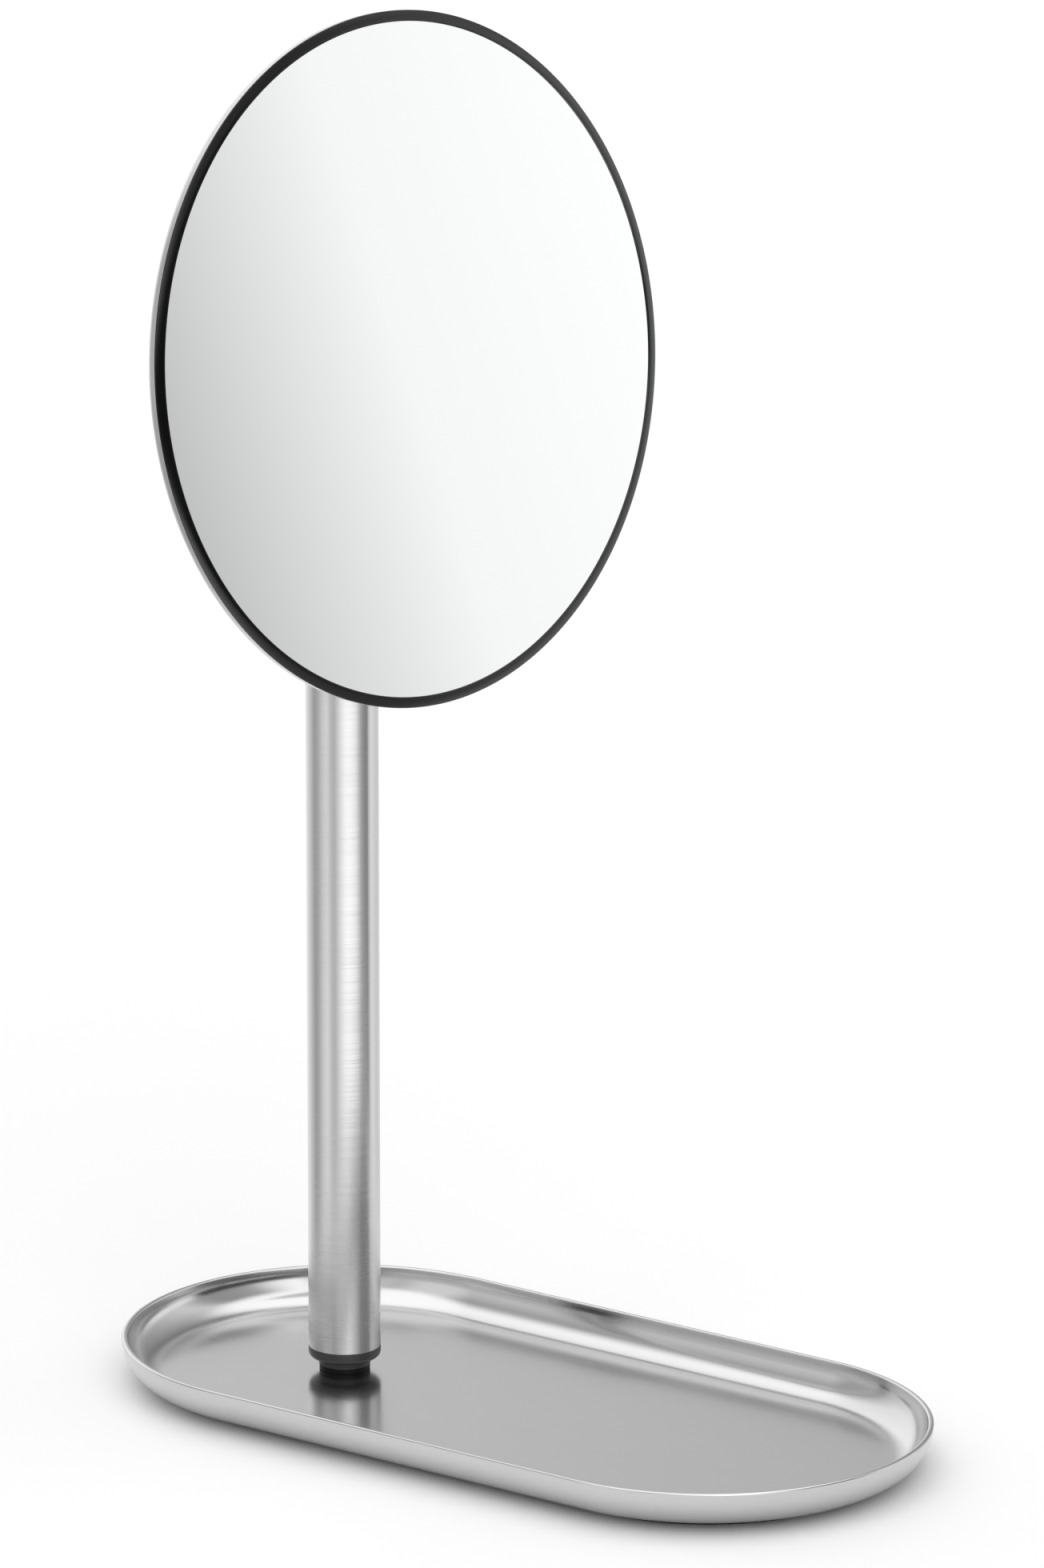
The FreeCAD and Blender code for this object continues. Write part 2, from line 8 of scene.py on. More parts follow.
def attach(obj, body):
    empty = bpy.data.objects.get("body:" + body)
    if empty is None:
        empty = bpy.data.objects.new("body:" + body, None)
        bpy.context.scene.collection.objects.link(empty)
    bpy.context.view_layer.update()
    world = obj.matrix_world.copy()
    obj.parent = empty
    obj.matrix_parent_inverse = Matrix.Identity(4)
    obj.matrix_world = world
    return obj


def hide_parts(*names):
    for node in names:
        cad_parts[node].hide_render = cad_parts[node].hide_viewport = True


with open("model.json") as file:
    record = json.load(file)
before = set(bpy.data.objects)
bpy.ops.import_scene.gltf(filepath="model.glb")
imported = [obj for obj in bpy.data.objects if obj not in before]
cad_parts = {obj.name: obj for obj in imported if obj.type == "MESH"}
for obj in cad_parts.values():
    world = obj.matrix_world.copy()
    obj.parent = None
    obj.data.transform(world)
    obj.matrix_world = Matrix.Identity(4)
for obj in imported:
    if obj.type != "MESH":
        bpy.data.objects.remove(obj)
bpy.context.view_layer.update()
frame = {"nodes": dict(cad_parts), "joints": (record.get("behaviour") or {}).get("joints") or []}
print("frame loaded:", len(frame["nodes"]), "CAD nodes")

# Sizes below are in millimetres; places are in metres
mm = 0.001
joints = {joint["name"]: joint for joint in frame["joints"]}
upward = Vector((0, 0, 1))
swivelFoot = Vector(joints["column_swivel"]["pos_m"])
pivot = Vector(joints["mirror_tilt"]["pos_m"])
across = -Vector(joints["mirror_tilt"]["axis"]).normalized()  # along the hinge, towards its nut
forward = across.cross(upward)  # level, the way the mirror looks
leanBack = math.radians(9.0)  # of the glass, with both joints at zero
facing = forward * math.cos(leanBack) + upward * math.sin(leanBack)
headUp = facing.cross(across)


def axesMatrix(x, y, z, origin):
    return Matrix.Translation(origin) @ Matrix((x, y, z)).transposed().to_4x4()


atFoot = Matrix.Translation((swivelFoot.x, swivelFoot.y, 0))
atColumn = axesMatrix(across, -forward, upward, Vector((swivelFoot.x, swivelFoot.y, 0)))
atPivot = axesMatrix(across, -forward, upward, pivot)
atHead = axesMatrix(across, headUp, facing, pivot)
ontoHinge = Matrix.Rotation(math.radians(90), 4, "Y")  # lays a turned piece along the hinge


def hexColor(code):
    # sRGB hex to the linear colour that shaders take
    channels = [int(code[i:i + 2], 16) / 255 for i in (0, 2, 4)]
    linear = [c / 12.92 if c <= 0.04045 else ((c + 0.055) / 1.055) ** 2.4 for c in channels]
    return (*linear, 1.0)


def addNode(tree, kind, settings=None, links=None):
    # links maps an input to the output socket that feeds it
    node = tree.nodes.new(kind)
    for key, value in (settings or {}).items():
        if isinstance(key, str) and hasattr(node, key):
            setattr(node, key, value)
        else:
            node.inputs[key].default_value = value
    for key, socket in (links or {}).items():
        tree.links.new(socket, node.inputs[key])
    return node


def newMaterial(name, color, metallic, roughness, extra=None):
    material = bpy.data.materials.new(name)
    material.use_nodes = True
    shader = material.node_tree.nodes["Principled BSDF"]
    values = {"Base Color": hexColor(color), "Metallic": metallic, "Roughness": roughness}
    values.update(extra or {})
    for key, value in values.items():
        shader.inputs[key].default_value = value
    return material, material.node_tree, shader


noiseMiddle = (0.3, 0.7)  # noise keeps near its middle, so only that part is spread


def spreadNoise(tree, noise, low, high):
    settings = {"From Min": noiseMiddle[0], "From Max": noiseMiddle[1], "To Min": low, "To Max": high}
    return addNode(tree, "ShaderNodeMapRange", settings, {"Value": noise}).outputs[0]


def tintBy(tree, shader, factor, color, share):
    mixed = addNode(tree, "ShaderNodeMix", {"data_type": "RGBA"}, {0: factor})
    mixed.inputs[6].default_value = hexColor(color)
    mixed.inputs[7].default_value = [min(1.0, channel * share) for channel in hexColor(color)]
    tree.links.new(mixed.outputs[2], shader.inputs["Base Color"])


# Marks shared by all brushed steel: broad handling marks, and the scratches' lighter tint
brushing = {"clouds": 45.0, "drift": 0.3, "tint": 1.06}


def brushedSteel(name, s):
    # long soft scratches one way: across them the highlight smears, along them it stays crisp
    material, tree, shader = newMaterial(name, s["color"], 1.0, s["roughness"],
                                         {"Anisotropic": s["smear"]})
    source = addNode(tree, "ShaderNodeTexCoord").outputs["Object"]
    if "axes" in s:
        unturn = s["axes"].to_3x3().inverted().to_euler()
        turned = addNode(tree, "ShaderNodeVectorRotate",
                         {"rotation_type": "EULER_XYZ", "Rotation": unturn},
                         {"Vector": source})
        source = turned.outputs[0]
    scale = [1 / (size * mm) for size in s["scratch"]]
    stretched = addNode(tree, "ShaderNodeVectorMath", {"operation": "MULTIPLY", 1: scale}, {0: source})
    scratches = addNode(tree, "ShaderNodeTexNoise", {"Scale": 1.0, "Detail": 3.0, "Roughness": 0.6},
                        {"Vector": stretched.outputs[0]}).outputs["Fac"]
    clouds = addNode(tree, "ShaderNodeTexNoise", {"Scale": brushing["clouds"], "Detail": 2.0},
                     {"Vector": source}).outputs["Fac"]
    low, high = s["roughness"] - s["spread"], s["roughness"] + s["spread"]
    drift = s["spread"] * brushing["drift"]
    uneven = addNode(tree, "ShaderNodeMath", {"operation": "ADD"},
                     {0: spreadNoise(tree, scratches, low, high),
                      1: spreadNoise(tree, clouds, -drift, drift)})
    tree.links.new(uneven.outputs[0], shader.inputs["Roughness"])
    bump = addNode(tree, "ShaderNodeBump", {"Strength": s["strength"], "Distance": s["depth"] * mm},
                   {"Height": scratches})
    tree.links.new(bump.outputs["Normal"], shader.inputs["Normal"])
    tintBy(tree, shader, scratches, s["color"], brushing["tint"])
    smearWay = addNode(tree, "ShaderNodeVectorTransform",
                       {"vector_type": "VECTOR", "convert_from": "OBJECT", "convert_to": "WORLD",
                        0: s["smearWay"]})
    tree.links.new(smearWay.outputs[0], shader.inputs["Tangent"])
    return material


# How strongly the grain shows, and how much the polish wanders over a moulding
moulding = {"bump": 0.3, "patches": 60.0, "wander": 0.15}


def mouldedPlastic(name, color, roughness, grain, depth, specular=0.5):
    # grain is the size of the tool's texture in mm, depth how deep it goes
    material, tree, shader = newMaterial(name, color, 0.0, roughness, {"Specular IOR Level": specular})
    source = addNode(tree, "ShaderNodeTexCoord").outputs["Object"]
    fine = addNode(tree, "ShaderNodeTexNoise", {"Scale": 1 / (grain * mm), "Detail": 2.0},
                   {"Vector": source})
    broad = addNode(tree, "ShaderNodeTexNoise", {"Scale": moulding["patches"], "Detail": 2.0},
                    {"Vector": source})
    wander = roughness * moulding["wander"]
    uneven = spreadNoise(tree, broad.outputs["Fac"], roughness - wander, roughness + wander)
    tree.links.new(uneven, shader.inputs["Roughness"])
    bump = addNode(tree, "ShaderNodeBump", {"Strength": moulding["bump"], "Distance": depth * mm},
                   {"Height": fine.outputs["Fac"]})
    tree.links.new(bump.outputs["Normal"], shader.inputs["Normal"])
    return material


# Share of roughness and colour at the edges of the zinc's crystals
crystals = {"low": 0.8, "high": 1.25, "tint": 0.9}


def crystallineZinc(name, color, roughness, crystal):
    # crystal is the size of the mottling in mm
    material, tree, shader = newMaterial(name, color, 1.0, roughness)
    source = addNode(tree, "ShaderNodeTexCoord").outputs["Object"]
    mottle = addNode(tree, "ShaderNodeTexVoronoi", {"Scale": 1 / (crystal * mm)}, {"Vector": source})
    ends = {"To Min": roughness * crystals["low"], "To Max": roughness * crystals["high"]}
    uneven = addNode(tree, "ShaderNodeMapRange", ends, {"Value": mottle.outputs["Distance"]})
    tree.links.new(uneven.outputs[0], shader.inputs["Roughness"])
    tintBy(tree, shader, mottle.outputs["Distance"], color, crystals["tint"])
    return material


print("materials")
# Pressed stainless sheet, belt-brushed along the tray
traySteel = brushedSteel("brushed stainless sheet", {
    "color": "C9C9C9", "roughness": 0.17, "spread": 0.03, "scratch": (0.35, 31, 0.35), "depth": 0.004,
    "strength": 0.2, "smear": 0.25, "smearWay": (1, 0, 0)})
# The tray's cut edge: the same brushed steel in a lighter colour, a painted highlight along the rim
rimHighlightSteel = brushedSteel("stainless rim with painted highlight", {
    "color": "E4E4E4", "roughness": 0.22, "spread": 0.03, "scratch": (7.5, 7.5, 0.25), "depth": 0.003,
    "strength": 0.2, "smear": 0.0, "smearWay": (0, 0, 1)})
# Welded stainless tube, turned against the belt, so its scratches run round it
tubeSteel = brushedSteel("circumferentially brushed stainless tube", {
    "color": "C8C8C8", "roughness": 0.23, "spread": 0.05, "scratch": (105, 105, 0.15), "depth": 0.004,
    "strength": 0.2, "smear": 0.88, "smearWay": (0, 0, 1)})
# The mirror's back, pressed from sheet that was brushed up and down
shellSteel = brushedSteel("brushed stainless pressing", {
    "color": "C9C9C9", "roughness": 0.24, "spread": 0.04, "scratch": (0.3, 45, 0.3), "depth": 0.004,
    "strength": 0.2, "smear": 0.4, "smearWay": tuple(across), "axes": atHead})
# Injection mouldings: gloss black for the bezel and hinge post, duller charcoal for the foot plug
blackAbs = mouldedPlastic("moulded black ABS", "060606", 0.2, 0.4, 0.004)
charcoalAbs = mouldedPlastic("moulded charcoal ABS", "323233", 0.42, 0.4, 0.01)
greyAbs = mouldedPlastic("moulded grey ABS", "8B8B8D", 0.45, 0.5, 0.02)
# Turned from rod
charcoalNylon = mouldedPlastic("turned charcoal nylon", "2A2A2B", 0.45, 0.3, 0.01)
blackNylon = mouldedPlastic("turned black nylon", "050505", 0.5, 0.3, 0.01, specular=0.2)
blueNylon = mouldedPlastic("blue nylon lock ring", "2F4F94", 0.45, 0.3, 0.01)
# Foams: closed-cell tape behind the glass, die-cut sheet under the tray
foamTape = mouldedPlastic("white acrylic foam tape", "DCDCD6", 0.7, 0.2, 0.05)
evaFoam = mouldedPlastic("charcoal EVA foam", "232325", 0.85, 0.5, 0.12)
# Fixings plated in a zinc bath, and a bead-blasted zinc casting
zincSteel = crystallineZinc("zinc-plated steel", "B9BDC2", 0.3, 1.1)
castZinc = crystallineZinc("bead-blasted zinc casting", "A7A9AB", 0.42, 1.1)
# Float glass with its silver behind, drawn as the reflecting surface
mirrorSilver, _, _ = newMaterial("silvered float glass", "F7F8F8", 1.0, 0.004)


def arcPoints(centreR, centreZ, radius, startDeg, endDeg, steps):
    # both ends included, in the (radius, height) plane
    turns = [math.radians(startDeg + (endDeg - startDeg) * i / steps) for i in range(steps + 1)]
    return [(centreR + radius * math.cos(turn), centreZ + radius * math.sin(turn)) for turn in turns]


def addOutline(bm, points, closed):
    verts = [bm.verts.new((radius * mm, 0, height * mm)) for radius, height in points]
    edges = [bm.edges.new(pair) for pair in zip(verts, verts[1:])]
    if closed:
        edges.append(bm.edges.new((verts[-1], verts[0])))
    return verts, edges


mergeDistance = 0.0005


def mergeAndFaceOut(bm):
    bmesh.ops.remove_doubles(bm, verts=bm.verts, dist=mergeDistance * mm)
    bmesh.ops.recalc_face_normals(bm, faces=bm.faces)
    if bm.calc_volume(signed=True) < 0:  # thin open trays can come out facing inwards
        bmesh.ops.reverse_faces(bm, faces=bm.faces)


def spinOutline(points, closed=True, steps=128):
    # a turned piece: the outline spun once round Z
    bm = bmesh.new()
    verts, edges = addOutline(bm, points, closed)
    bmesh.ops.spin(bm, geom=verts + edges, cent=(0, 0, 0), axis=(0, 0, 1), angle=math.tau, steps=steps,
                   use_merge=True)
    mergeAndFaceOut(bm)
    return bm


def partsOf(geometry, kind):
    return [part for part in geometry if isinstance(part, kind)]


def sweepStadium(points, halfStraight, steps=96):
    # the outline goes round a half circle, down a straight side, round the other end and back
    bm = bmesh.new()
    verts, edges = addOutline(bm, points, False)
    bmesh.ops.translate(bm, verts=verts, vec=(0, halfStraight * mm, 0))
    current = verts + edges
    for side in (1, -1):
        turned = bmesh.ops.spin(bm, geom=current, cent=(0, side * halfStraight * mm, 0), axis=(0, 0, 1),
                                angle=math.pi, steps=steps)
        lastEdges = partsOf(turned["geom_last"], bmesh.types.BMEdge)
        pulled = bmesh.ops.extrude_edge_only(bm, edges=lastEdges)["geom"]
        pulledVerts = partsOf(pulled, bmesh.types.BMVert)
        bmesh.ops.translate(bm, verts=pulledVerts, vec=(0, -side * 2 * halfStraight * mm, 0))
        current = pulledVerts + partsOf(pulled, bmesh.types.BMEdge)
    mergeAndFaceOut(bm)
    return bm


def extrudeOutline(points, thickness):
    bm = bmesh.new()
    face = bm.faces.new([bm.verts.new((x * mm, y * mm, 0)) for x, y in points])
    raised = bmesh.ops.extrude_face_region(bm, geom=[face])["geom"]
    bmesh.ops.translate(bm, verts=partsOf(raised, bmesh.types.BMVert), vec=(0, 0, thickness * mm))
    bmesh.ops.recalc_face_normals(bm, faces=bm.faces)
    return bm


def hexPrism(flats, bottom, top):
    corner = flats / math.sqrt(3)
    bm = bmesh.new()
    middle = Matrix.Translation((0, 0, (bottom + top) / 2 * mm))
    bmesh.ops.create_cone(bm, cap_ends=True, segments=6, radius1=corner * mm, radius2=corner * mm,
                          depth=(top - bottom) * mm, matrix=middle)
    return bm


def roundEdges(bm, width, minAngle=35, segments=3):
    sharp = [e for e in bm.edges if len(e.link_faces) == 2 and e.calc_face_angle() > math.radians(minAngle)]
    bmesh.ops.bevel(bm, geom=sharp, offset=width * mm, offset_type="OFFSET", segments=segments,
                    profile=0.5, affect="EDGES", clamp_overlap=True, material=-1)
    bmesh.ops.recalc_face_normals(bm, faces=bm.faces)


def joinInto(target, other, matrix=None):
    # adds the other shape's shell to target's
    if matrix:
        bmesh.ops.transform(other, matrix=matrix, verts=other.verts)
    scratch = bpy.data.meshes.new("scratch")
    other.to_mesh(scratch)
    target.from_mesh(scratch)
    bpy.data.meshes.remove(scratch)
    other.free()


def carve(bm, cutter, solver="EXACT"):
    # cuts one closed shape out of another
    blocks = []
    for shape in (bm, cutter):
        mesh = bpy.data.meshes.new("scratch")
        shape.to_mesh(mesh)
        shape.free()
        block = bpy.data.objects.new("scratch", mesh)
        bpy.context.scene.collection.objects.link(block)
        blocks.append(block)
    cut = blocks[0].modifiers.new("cut", "BOOLEAN")
    cut.operation = "DIFFERENCE"
    cut.solver = solver
    cut.object = blocks[1]
    carved = bmesh.new()
    carved.from_object(blocks[0], bpy.context.evaluated_depsgraph_get())
    for block in blocks:
        bpy.data.meshes.remove(block.data)  # takes its object with it
    return carved


def finishPiece(bm, name, body, materials, cadNodes, place, smoothAngle=32):
    bmesh.ops.transform(bm, matrix=place, verts=bm.verts)
    mesh = bpy.data.meshes.new(name)
    bm.to_mesh(mesh)
    bm.free()
    mesh.shade_smooth()
    mesh.set_sharp_from_angle(angle=math.radians(smoothAngle))
    mesh.materials.clear()
    for material in materials:
        mesh.materials.append(material)
    piece = bpy.data.objects.new(name, mesh)
    bpy.context.scene.collection.objects.link(piece)
    flatten = piece.modifiers.new("flat faces stay flat", "WEIGHTED_NORMAL")
    flatten.weight = 90  # large flat faces lead their edges' shading
    flatten.keep_sharp = True
    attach(piece, body)
    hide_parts(*cadNodes)
    print("piece", name, len(mesh.polygons), "faces")


# Pressed tray with a coved wall; the sheet's cut edge is rounded over
tray = {"length": 222.0, "width": 111.0, "sheet": 1.4, "bottom": 1.6, "rim": 11.8, "cove": 8.4,
        "rimRound": 0.55, "boltHole": 3.2}


def buildTray(t):
    wall = t["width"] / 2
    floorTop = t["bottom"] + t["sheet"]
    outerCorner = t["cove"] + t["sheet"]
    inner = wall - t["sheet"]
    r = t["rimRound"]
    outline = [(0, t["bottom"]), (wall - outerCorner - 1, t["bottom"])]
    outline += arcPoints(wall - outerCorner, t["bottom"] + outerCorner, outerCorner, -90, 0, 20)
    outline += arcPoints(wall - r, t["rim"] - r, r, 0, 90, 5)
    outline += arcPoints(inner + r, t["rim"] - r, r, 90, 180, 5)
    outline += arcPoints(inner - t["cove"], floorTop + t["cove"], t["cove"], 0, -90, 20)
    outline += [(inner - t["cove"] - 1, floorTop), (0, floorTop)]
    bm = sweepStadium(outline, (t["length"] - t["width"]) / 2)
    rimFoot = (t["rim"] - r * 1.1) * mm  # everything above it gets the lighter rim steel, a painted highlight
    # rim faces take the second, lighter material: painted highlight, not a different finish
    for face in bm.faces:
        if face.calc_center_median().z > rimFoot:
            face.material_index = 1
    drill = bmesh.new()
    bmesh.ops.create_cone(drill, cap_ends=True, segments=48, radius1=t["boltHole"] * mm,
                          radius2=t["boltHole"] * mm, depth=t["rim"] * mm, matrix=atFoot)
    bm = carve(bm, drill, solver="FAST")  # EXACT turns this thin sheet inside out
    finishPiece(bm, "tray_pressing", "base", [traySteel, rimHighlightSteel], ["tray"],
                Matrix.Identity(4), smoothAngle=40)


print("tray")
buildTray(tray)

# Neck: a black ring on the tray floor, and a bush that the column turns on
floorRing = {"radius": 6.3, "bore": 3.2, "bottom": 3.0, "top": 4.3, "edge": 0.12}
neckBush = {"radius": 6.45, "waist": 6.25, "bore": 3.2, "bottom": 4.3, "top": 6.0, "edge": 0.12}


def washerShape(bore, radius, bottom, top, edge, steps=64):
    bm = spinOutline([(bore, bottom), (radius, bottom), (radius, top), (bore, top)], steps=steps)
    roundEdges(bm, edge)
    return bm


def buildFloorRing(f):
    bm = washerShape(f["bore"], f["radius"], f["bottom"], f["top"], f["edge"], steps=96)
    finishPiece(bm, "neck_floor_washer", "base", [blackNylon], ["floor_washer"], atFoot)


def buildNeckBush(n):
    half = (n["top"] - n["bottom"]) / 2
    dip = n["radius"] - n["waist"]
    bow = (half ** 2 + dip ** 2) / (2 * dip)  # radius of the waist's arc
    swing = math.degrees(math.asin(half / bow))
    waist = arcPoints(n["waist"] + bow, n["bottom"] + half, bow, 180 + swing, 180 - swing, 10)
    bm = spinOutline([(n["bore"], n["bottom"])] + waist + [(n["bore"], n["top"])], steps=96)
    roundEdges(bm, n["edge"])
    finishPiece(bm, "neck_bush", "base", [charcoalNylon], ["neck_spacer"], atFoot)


# Flanged plug pressed into the tube's foot
footPlug = {"radius": 9.0, "bottom": 6.05, "top": 9.05, "round": 1.6, "insert": 7.95,
            "insertTop": 33.05, "bore": 3.05, "counterbore": 6.47, "seat": 15.05, "edge": 0.12}


def buildFootPlug(p):
    outline = [(p["bore"], p["bottom"])]
    outline += arcPoints(p["radius"] - p["round"], p["bottom"] + p["round"], p["round"], -90, 0, 12)
    outline += [(p["radius"], p["top"]), (p["insert"], p["top"]), (p["insert"], p["insertTop"]),
                (p["counterbore"], p["insertTop"]), (p["counterbore"], p["seat"]),
                (p["bore"], p["seat"])]
    bm = spinOutline(outline)
    roundEdges(bm, p["edge"], minAngle=50)
    finishPiece(bm, "foot_plug", "column", [charcoalAbs], ["lower_plug"], atColumn)


print("neck")
buildFloorRing(floorRing)
buildNeckBush(neckBush)
buildFootPlug(footPlug)

# Column, one plain length of tube
tube = {"radius": 9.0, "wall": 1.0, "bottom": 9.05, "top": 248.0, "edge": 0.18}


def buildTube(t):
    bm = washerShape(t["radius"] - t["wall"], t["radius"], t["bottom"], t["top"], t["edge"], steps=160)
    finishPiece(bm, "brushed_tube", "column", [tubeSteel], ["column_tube"],
                atColumn)


print("column")
buildTube(tube)

# Plug in the tube's top, with an upright tongue between two nylon washers
hingePost = {"radius": 9.0, "insert": 7.95, "insertLength": 20.0, "tubeTop": 248.0, "flange": 2.5,
             "flangeRound": 1.0, "thickness": 8.0, "width": 12.0, "sunk": 0.5, "edge": 0.4,
             "flangeEdge": 0.12}
frictionWasher = {"bore": 2.55, "radius": 5.8, "near": 4.05, "far": 4.85, "edge": 0.08}


def halfRound(radius, startDeg, steps=24):
    turns = [math.radians(startDeg + 180 * i / steps) for i in range(steps + 1)]
    return [(radius * math.cos(turn), radius * math.sin(turn)) for turn in turns]


def buildHingePost(p):
    top = p["tubeTop"] + p["flange"]
    r = p["flangeRound"]
    foot = p["tubeTop"] - p["insertLength"]
    outline = [(0, foot), (p["insert"], foot), (p["insert"], p["tubeTop"]), (p["radius"], p["tubeTop"])]
    outline += arcPoints(p["radius"] - r, top - r, r, 0, 90, 8) + [(0, top)]
    post = spinOutline(outline, closed=False)
    roundEdges(post, p["flangeEdge"], minAngle=60)
    half = p["width"] / 2
    below = pivot.z / mm - top + p["sunk"]
    tongue = extrudeOutline([(half, -below)] + halfRound(half, 0) + [(-half, -below)], p["thickness"])
    roundEdges(tongue, p["edge"], minAngle=50)
    # drawn lying down: its X becomes the width, its Y the height, its thickness lies on the hinge
    standUp = Matrix(((0, 0, 1), (1, 0, 0), (0, 1, 0))).to_4x4()
    joinInto(post, tongue, Matrix.Translation((-p["thickness"] / 2 * mm, 0, pivot.z)) @ standUp)
    finishPiece(post, "top_plug_with_tongue", "column", [blackAbs], ["hinge_post"],
                atColumn)


def washerPair(w):
    # one washer each side of the hinge's middle
    pair = bmesh.new()
    for side in (1, -1):
        joinInto(pair, washerShape(w["bore"], w["radius"], side * w["near"], side * w["far"],
                                   w["edge"]))
    return pair


print("hinge post")
buildHingePost(hingePost)
finishPiece(washerPair(frictionWasher), "nylon_friction_washers", "column", [blackNylon],
            ["friction_washers"], atPivot @ ontoHinge)

# Mirror head; the bezel and the shell share their levels along the glass's normal
head = {"outer": 84.5, "lip": 2.7, "glassFront": 24.7, "glassThickness": 2.0, "glassRadius": 82.95,
        "arris": 0.4, "lipStand": 0.35, "endSlope": 30.0, "edgeHeight": 0.3, "bezelEdge": 0.1,
        "skirt": 0.5, "skirtDepth": 1.0, "slip": 0.05, "shellStep": 0.1, "sheet": 0.8,
        "sideHeight": 1.1, "corner": 2.0, "dome": 300.0, "flat": 30.0, "sheetEdge": 0.12}


def headLevels(h):
    slope = math.radians(h["endSlope"])
    arc = h["lip"] / math.sin(slope)
    top = h["glassFront"] + h["lipStand"]
    rim = top - arc * (1 - math.cos(slope)) - h["edgeHeight"]
    side = rim - h["sideHeight"]
    wall = h["outer"] - h["shellStep"]
    turn = math.asin((wall - h["corner"] - h["flat"]) / (h["dome"] - h["corner"]))
    back = side - h["corner"] * math.cos(turn) - h["dome"] * (1 - math.cos(turn))
    return {"arc": arc, "top": top, "rim": rim, "side": side, "wall": wall, "turn": math.degrees(turn),
            "back": back}


def buildBezel(h, at):
    inner = h["outer"] - h["lip"]
    skirtOut = at["wall"] - h["sheet"] - h["slip"]
    skirtIn = skirtOut - h["skirt"]
    skirtFoot = at["rim"] - h["skirtDepth"]
    crown = arcPoints(inner, at["top"] - at["arc"], at["arc"], 90, 90 - h["endSlope"], 12)
    outline = crown + [(h["outer"], at["rim"]), (skirtOut, at["rim"]), (skirtOut, skirtFoot),
                       (skirtIn, skirtFoot), (skirtIn, h["glassFront"]), (inner, h["glassFront"])]
    bm = spinOutline(outline, steps=256)
    roundEdges(bm, h["bezelEdge"], minAngle=40)
    finishPiece(bm, "bezel", "mirror_head", [blackAbs], ["bezel_ring"], atHead)


def shellLine(h, at, inset):
    # the shell's outside line, moved inwards by inset
    centre = at["back"] + h["dome"]
    dome = arcPoints(h["flat"], centre, h["dome"] - inset, -90, -90 + at["turn"], 16)
    corner = arcPoints(at["wall"] - h["corner"], at["side"], h["corner"] - inset, -90 + at["turn"], 0,
                       12)
    return [(0, at["back"] + inset)] + dome + corner[1:] + [(at["wall"] - inset, at["rim"])]


def buildShell(h, at):
    outline = shellLine(h, at, 0) + list(reversed(shellLine(h, at, h["sheet"])))
    bm = spinOutline(outline, closed=False, steps=256)
    roundEdges(bm, h["sheetEdge"], minAngle=60)
    finishPiece(bm, "pressed_rear_shell", "mirror_head", [shellSteel],
                ["rear_shell"], atHead)


def buildGlass(h):
    back = h["glassFront"] - h["glassThickness"]
    outline = [(0, back), (h["glassRadius"], back), (h["glassRadius"], h["glassFront"]),
               (0, h["glassFront"])]
    bm = spinOutline(outline, closed=False, steps=256)
    roundEdges(bm, h["arris"], minAngle=60, segments=2)
    finishPiece(bm, "round_mirror_glass", "mirror_head", [mirrorSilver],
                ["mirror_glass"], atHead, smoothAngle=20)


print("mirror head")
levels = headLevels(head)
buildBezel(head, levels)
buildShell(head, levels)
buildGlass(head)

# Cast bracket on the shell, with two ears that straddle the tongue
bracket = {"earInside": 4.9, "earThickness": 2.0, "earRadius": 6.0, "earRoot": 17.5, "earSunk": 0.4,
           "plateWidth": 40.0, "plateHeight": 26.0, "plateThickness": 2.0, "corner": 4.0, "edge": 0.35}


def roundedRectangle(width, height, corner, steps=8):
    x, y = width / 2 - corner, height / 2 - corner
    points = []
    for quarter, (cx, cy) in enumerate([(x, y), (-x, y), (-x, -y), (x, -y)]):
        turns = [math.radians(90 * (quarter + i / steps)) for i in range(steps + 1)]
        points += [(cx + corner * math.cos(turn), cy + corner * math.sin(turn)) for turn in turns]
    return points


def buildBracket(b, plateFront):
    plateBack = plateFront - b["plateThickness"]
    bm = extrudeOutline(roundedRectangle(b["plateWidth"], b["plateHeight"], b["corner"]),
                        b["plateThickness"])
    roundEdges(bm, b["edge"], minAngle=50)
    bmesh.ops.translate(bm, verts=bm.verts, vec=(0, 0, plateBack * mm))
    root = b["earRoot"] / 2
    foot = plateBack + b["earSunk"]
    earOutline = [(foot, root)] + halfRound(b["earRadius"], 90) + [(foot, -root)]
    # drawn lying down: its X runs towards the glass, its Y up, its thickness lies on the hinge
    turnUp = Matrix(((0, 0, 1), (0, 1, 0), (1, 0, 0))).to_4x4()
    for inner in (b["earInside"], -b["earInside"] - b["earThickness"]):
        ear = extrudeOutline(earOutline, b["earThickness"])
        roundEdges(ear, b["edge"], minAngle=50)
        bmesh.ops.transform(ear, matrix=Matrix.Translation((inner * mm, 0, 0)) @ turnUp,
                            verts=ear.verts)
        bmesh.ops.recalc_face_normals(ear, faces=ear.faces)
        joinInto(bm, ear)
    finishPiece(bm, "cast_hinge_bracket", "mirror_head", [castZinc],
                ["hinge_bracket"], atHead)


# M5 button-head bolt, washers and lock nut on the hinge
steelWasher = {"bore": 2.55, "radius": 5.0, "near": 6.9, "far": 7.9, "edge": 0.12}
hingeBolt = {"thread": 2.5, "tip": 0.4, "end": 14.15, "seat": 7.9, "headRadius": 4.75,
             "headHeight": 2.8, "rim": 0.7, "shoulder": (3.8, 2.1), "crown": 2.375, "socketFlats": 3.0,
             "socketDepth": 1.8, "edge": 0.15}
hingeNut = {"flats": 8.0, "seat": 7.9, "height": 5.0, "collar": 1.0, "collarRadius": 3.9,
            "collarRound": 0.4, "ringRadius": 3.2, "ringBore": 2.52, "ringSunk": 0.15, "edge": 0.3}


